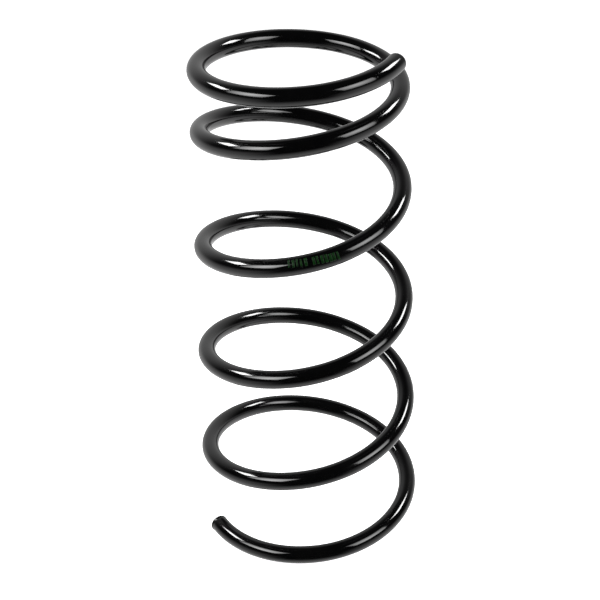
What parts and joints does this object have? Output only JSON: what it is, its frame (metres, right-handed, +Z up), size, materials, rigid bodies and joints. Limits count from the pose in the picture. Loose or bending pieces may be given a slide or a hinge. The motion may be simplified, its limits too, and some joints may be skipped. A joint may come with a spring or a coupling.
{
  "type": "suspension coil spring",
  "caption": "Open-ended helical compression spring of round coated steel wire for a vehicle suspension, right-hand wound and slightly tapered, with close-pitched ends.",
  "frame": {"origin": "on the coil axis, level with the lowest point of the lower end coil, where the lower spring seat is", "axes": "+Z up along the coil axis towards the upper seat; the lower wire end lies at about 208 degrees from +X, anticlockwise seen from above"},
  "size_m": [0.1666, 0.1679, 0.389],
  "materials": {
    "coated_wire": "gloss black epoxy or powder coat over spring steel",
    "ink_mark": "thin green marking ink printed on the coat, as plain bars"
  },
  "bodies": {
    "lower_end_coil": {"lower_wire_end": "coated_wire", "lower_coil_arc_1": "coated_wire", "lower_coil_arc_2": "coated_wire", "lower_coil_arc_3": "coated_wire", "lower_coil_arc_4": "coated_wire", "lower_coil_arc_5": "coated_wire"},
    "coil_1_arc_1": {"coil_1_arc_1": "coated_wire"},
    "coil_1_arc_2": {"coil_1_arc_2": "coated_wire"},
    "coil_1_arc_3": {"coil_1_arc_3": "coated_wire"},
    "coil_1_arc_4": {"coil_1_arc_4": "coated_wire"},
    "coil_1_arc_5": {"coil_1_arc_5": "coated_wire"},
    "coil_1_arc_6": {"coil_1_arc_6": "coated_wire"},
    "coil_1_arc_7": {"coil_1_arc_7": "coated_wire"},
    "coil_1_arc_8": {"coil_1_arc_8": "coated_wire"},
    "coil_2_arc_1": {"coil_2_arc_1": "coated_wire"},
    "coil_2_arc_2": {"coil_2_arc_2": "coated_wire"},
    "coil_2_arc_3": {"coil_2_arc_3": "coated_wire"},
    "coil_2_arc_4": {"coil_2_arc_4": "coated_wire"},
    "coil_2_arc_5": {"coil_2_arc_5": "coated_wire"},
    "coil_2_arc_6": {"coil_2_arc_6": "coated_wire"},
    "coil_2_arc_7": {"coil_2_arc_7": "coated_wire"},
    "coil_2_arc_8": {"coil_2_arc_8": "coated_wire"},
    "coil_3_arc_1": {"coil_3_arc_1": "coated_wire"},
    "coil_3_arc_2": {"coil_3_arc_2": "coated_wire"},
    "coil_3_arc_3": {"coil_3_arc_3": "coated_wire"},
    "coil_3_arc_4": {"coil_3_arc_4": "coated_wire"},
    "coil_3_arc_5": {"coil_3_arc_5": "coated_wire"},
    "coil_3_arc_6": {"coil_3_arc_6": "coated_wire"},
    "coil_3_arc_7": {"coil_3_arc_7": "coated_wire"},
    "coil_3_arc_8": {"coil_3_arc_8": "coated_wire"},
    "coil_4_arc_1": {"coil_4_arc_1": "coated_wire"},
    "coil_4_arc_2": {"coil_4_arc_2": "coated_wire"},
    "coil_4_arc_3": {"coil_4_arc_3": "coated_wire"},
    "coil_4_arc_4": {"coil_4_arc_4": "coated_wire"},
    "coil_4_arc_5": {"coil_4_arc_5": "coated_wire"},
    "coil_4_arc_6": {"coil_4_arc_6": "coated_wire"},
    "coil_4_arc_7": {"coil_4_arc_7": "coated_wire"},
    "coil_4_arc_8": {"coil_4_arc_8": "coated_wire"},
    "upper_end_coil": {"upper_coil_arc_1": "coated_wire", "upper_coil_arc_2": "coated_wire", "upper_coil_arc_3": "coated_wire", "upper_coil_arc_4": "coated_wire", "upper_coil_arc_5": "coated_wire", "upper_coil_arc_6": "coated_wire", "upper_wire_end": "coated_wire"}
  },
  "joints": [
    {"name": "compression", "type": "slide", "parent": "lower_end_coil", "child": "upper_end_coil", "axis": [0, 0, -1], "range_m": [0, 0.19], "stiffness_N_per_m": 22000},
    {"name": "sink_coil_1_arc_1", "type": "slide", "parent": "lower_end_coil", "child": "coil_1_arc_1", "axis": [0, 0, -1], "range_m": [0, 0.000233]},
    {"name": "sink_coil_1_arc_2", "type": "slide", "parent": "lower_end_coil", "child": "coil_1_arc_2", "axis": [0, 0, -1], "range_m": [0, 0.00433]},
    {"name": "sink_coil_1_arc_3", "type": "slide", "parent": "lower_end_coil", "child": "coil_1_arc_3", "axis": [0, 0, -1], "range_m": [0, 0.01099]},
    {"name": "sink_coil_1_arc_4", "type": "slide", "parent": "lower_end_coil", "child": "coil_1_arc_4", "axis": [0, 0, -1], "range_m": [0, 0.01772]},
    {"name": "sink_coil_1_arc_5", "type": "slide", "parent": "lower_end_coil", "child": "coil_1_arc_5", "axis": [0, 0, -1], "range_m": [0, 0.02444]},
    {"name": "sink_coil_1_arc_6", "type": "slide", "parent": "lower_end_coil", "child": "coil_1_arc_6", "axis": [0, 0, -1], "range_m": [0, 0.03116]},
    {"name": "sink_coil_1_arc_7", "type": "slide", "parent": "lower_end_coil", "child": "coil_1_arc_7", "axis": [0, 0, -1], "range_m": [0, 0.03789]},
    {"name": "sink_coil_1_arc_8", "type": "slide", "parent": "lower_end_coil", "child": "coil_1_arc_8", "axis": [0, 0, -1], "range_m": [0, 0.04461]},
    {"name": "sink_coil_2_arc_1", "type": "slide", "parent": "lower_end_coil", "child": "coil_2_arc_1", "axis": [0, 0, -1], "range_m": [0, 0.05133]},
    {"name": "sink_coil_2_arc_2", "type": "slide", "parent": "lower_end_coil", "child": "coil_2_arc_2", "axis": [0, 0, -1], "range_m": [0, 0.05806]},
    {"name": "sink_coil_2_arc_3", "type": "slide", "parent": "lower_end_coil", "child": "coil_2_arc_3", "axis": [0, 0, -1], "range_m": [0, 0.06478]},
    {"name": "sink_coil_2_arc_4", "type": "slide", "parent": "lower_end_coil", "child": "coil_2_arc_4", "axis": [0, 0, -1], "range_m": [0, 0.0715]},
    {"name": "sink_coil_2_arc_5", "type": "slide", "parent": "lower_end_coil", "child": "coil_2_arc_5", "axis": [0, 0, -1], "range_m": [0, 0.07823]},
    {"name": "sink_coil_2_arc_6", "type": "slide", "parent": "lower_end_coil", "child": "coil_2_arc_6", "axis": [0, 0, -1], "range_m": [0, 0.08495]},
    {"name": "sink_coil_2_arc_7", "type": "slide", "parent": "lower_end_coil", "child": "coil_2_arc_7", "axis": [0, 0, -1], "range_m": [0, 0.09167]},
    {"name": "sink_coil_2_arc_8", "type": "slide", "parent": "lower_end_coil", "child": "coil_2_arc_8", "axis": [0, 0, -1], "range_m": [0, 0.09839]},
    {"name": "sink_coil_3_arc_1", "type": "slide", "parent": "lower_end_coil", "child": "coil_3_arc_1", "axis": [0, 0, -1], "range_m": [0, 0.10512]},
    {"name": "sink_coil_3_arc_2", "type": "slide", "parent": "lower_end_coil", "child": "coil_3_arc_2", "axis": [0, 0, -1], "range_m": [0, 0.11184]},
    {"name": "sink_coil_3_arc_3", "type": "slide", "parent": "lower_end_coil", "child": "coil_3_arc_3", "axis": [0, 0, -1], "range_m": [0, 0.11856]},
    {"name": "sink_coil_3_arc_4", "type": "slide", "parent": "lower_end_coil", "child": "coil_3_arc_4", "axis": [0, 0, -1], "range_m": [0, 0.12529]},
    {"name": "sink_coil_3_arc_5", "type": "slide", "parent": "lower_end_coil", "child": "coil_3_arc_5", "axis": [0, 0, -1], "range_m": [0, 0.13201]},
    {"name": "sink_coil_3_arc_6", "type": "slide", "parent": "lower_end_coil", "child": "coil_3_arc_6", "axis": [0, 0, -1], "range_m": [0, 0.13873]},
    {"name": "sink_coil_3_arc_7", "type": "slide", "parent": "lower_end_coil", "child": "coil_3_arc_7", "axis": [0, 0, -1], "range_m": [0, 0.14546]},
    {"name": "sink_coil_3_arc_8", "type": "slide", "parent": "lower_end_coil", "child": "coil_3_arc_8", "axis": [0, 0, -1], "range_m": [0, 0.15218]},
    {"name": "sink_coil_4_arc_1", "type": "slide", "parent": "lower_end_coil", "child": "coil_4_arc_1", "axis": [0, 0, -1], "range_m": [0, 0.1589]},
    {"name": "sink_coil_4_arc_2", "type": "slide", "parent": "lower_end_coil", "child": "coil_4_arc_2", "axis": [0, 0, -1], "range_m": [0, 0.16562]},
    {"name": "sink_coil_4_arc_3", "type": "slide", "parent": "lower_end_coil", "child": "coil_4_arc_3", "axis": [0, 0, -1], "range_m": [0, 0.17207]},
    {"name": "sink_coil_4_arc_4", "type": "slide", "parent": "lower_end_coil", "child": "coil_4_arc_4", "axis": [0, 0, -1], "range_m": [0, 0.17783]},
    {"name": "sink_coil_4_arc_5", "type": "slide", "parent": "lower_end_coil", "child": "coil_4_arc_5", "axis": [0, 0, -1], "range_m": [0, 0.1826]},
    {"name": "sink_coil_4_arc_6", "type": "slide", "parent": "lower_end_coil", "child": "coil_4_arc_6", "axis": [0, 0, -1], "range_m": [0, 0.18626]},
    {"name": "sink_coil_4_arc_7", "type": "slide", "parent": "lower_end_coil", "child": "coil_4_arc_7", "axis": [0, 0, -1], "range_m": [0, 0.18881]},
    {"name": "sink_coil_4_arc_8", "type": "slide", "parent": "lower_end_coil", "child": "coil_4_arc_8", "axis": [0, 0, -1], "range_m": [0, 0.18995]}
  ],
  "couplings": [
    {"joint": "sink_coil_1_arc_1", "follows": "compression", "ratio": 0.00122},
    {"joint": "sink_coil_1_arc_2", "follows": "compression", "ratio": 0.0228},
    {"joint": "sink_coil_1_arc_3", "follows": "compression", "ratio": 0.05786},
    {"joint": "sink_coil_1_arc_4", "follows": "compression", "ratio": 0.09324},
    {"joint": "sink_coil_1_arc_5", "follows": "compression", "ratio": 0.12863},
    {"joint": "sink_coil_1_arc_6", "follows": "compression", "ratio": 0.16401},
    {"joint": "sink_coil_1_arc_7", "follows": "compression", "ratio": 0.1994},
    {"joint": "sink_coil_1_arc_8", "follows": "compression", "ratio": 0.23478},
    {"joint": "sink_coil_2_arc_1", "follows": "compression", "ratio": 0.27017},
    {"joint": "sink_coil_2_arc_2", "follows": "compression", "ratio": 0.30555},
    {"joint": "sink_coil_2_arc_3", "follows": "compression", "ratio": 0.34094},
    {"joint": "sink_coil_2_arc_4", "follows": "compression", "ratio": 0.37632},
    {"joint": "sink_coil_2_arc_5", "follows": "compression", "ratio": 0.41171},
    {"joint": "sink_coil_2_arc_6", "follows": "compression", "ratio": 0.44709},
    {"joint": "sink_coil_2_arc_7", "follows": "compression", "ratio": 0.48247},
    {"joint": "sink_coil_2_arc_8", "follows": "compression", "ratio": 0.51786},
    {"joint": "sink_coil_3_arc_1", "follows": "compression", "ratio": 0.55324},
    {"joint": "sink_coil_3_arc_2", "follows": "compression", "ratio": 0.58863},
    {"joint": "sink_coil_3_arc_3", "follows": "compression", "ratio": 0.62401},
    {"joint": "sink_coil_3_arc_4", "follows": "compression", "ratio": 0.6594},
    {"joint": "sink_coil_3_arc_5", "follows": "compression", "ratio": 0.69478},
    {"joint": "sink_coil_3_arc_6", "follows": "compression", "ratio": 0.73017},
    {"joint": "sink_coil_3_arc_7", "follows": "compression", "ratio": 0.76555},
    {"joint": "sink_coil_3_arc_8", "follows": "compression", "ratio": 0.80094},
    {"joint": "sink_coil_4_arc_1", "follows": "compression", "ratio": 0.83632},
    {"joint": "sink_coil_4_arc_2", "follows": "compression", "ratio": 0.87166},
    {"joint": "sink_coil_4_arc_3", "follows": "compression", "ratio": 0.90562},
    {"joint": "sink_coil_4_arc_4", "follows": "compression", "ratio": 0.93593},
    {"joint": "sink_coil_4_arc_5", "follows": "compression", "ratio": 0.96105},
    {"joint": "sink_coil_4_arc_6", "follows": "compression", "ratio": 0.98028},
    {"joint": "sink_coil_4_arc_7", "follows": "compression", "ratio": 0.99375},
    {"joint": "sink_coil_4_arc_8", "follows": "compression", "ratio": 0.99973}
  ]
}
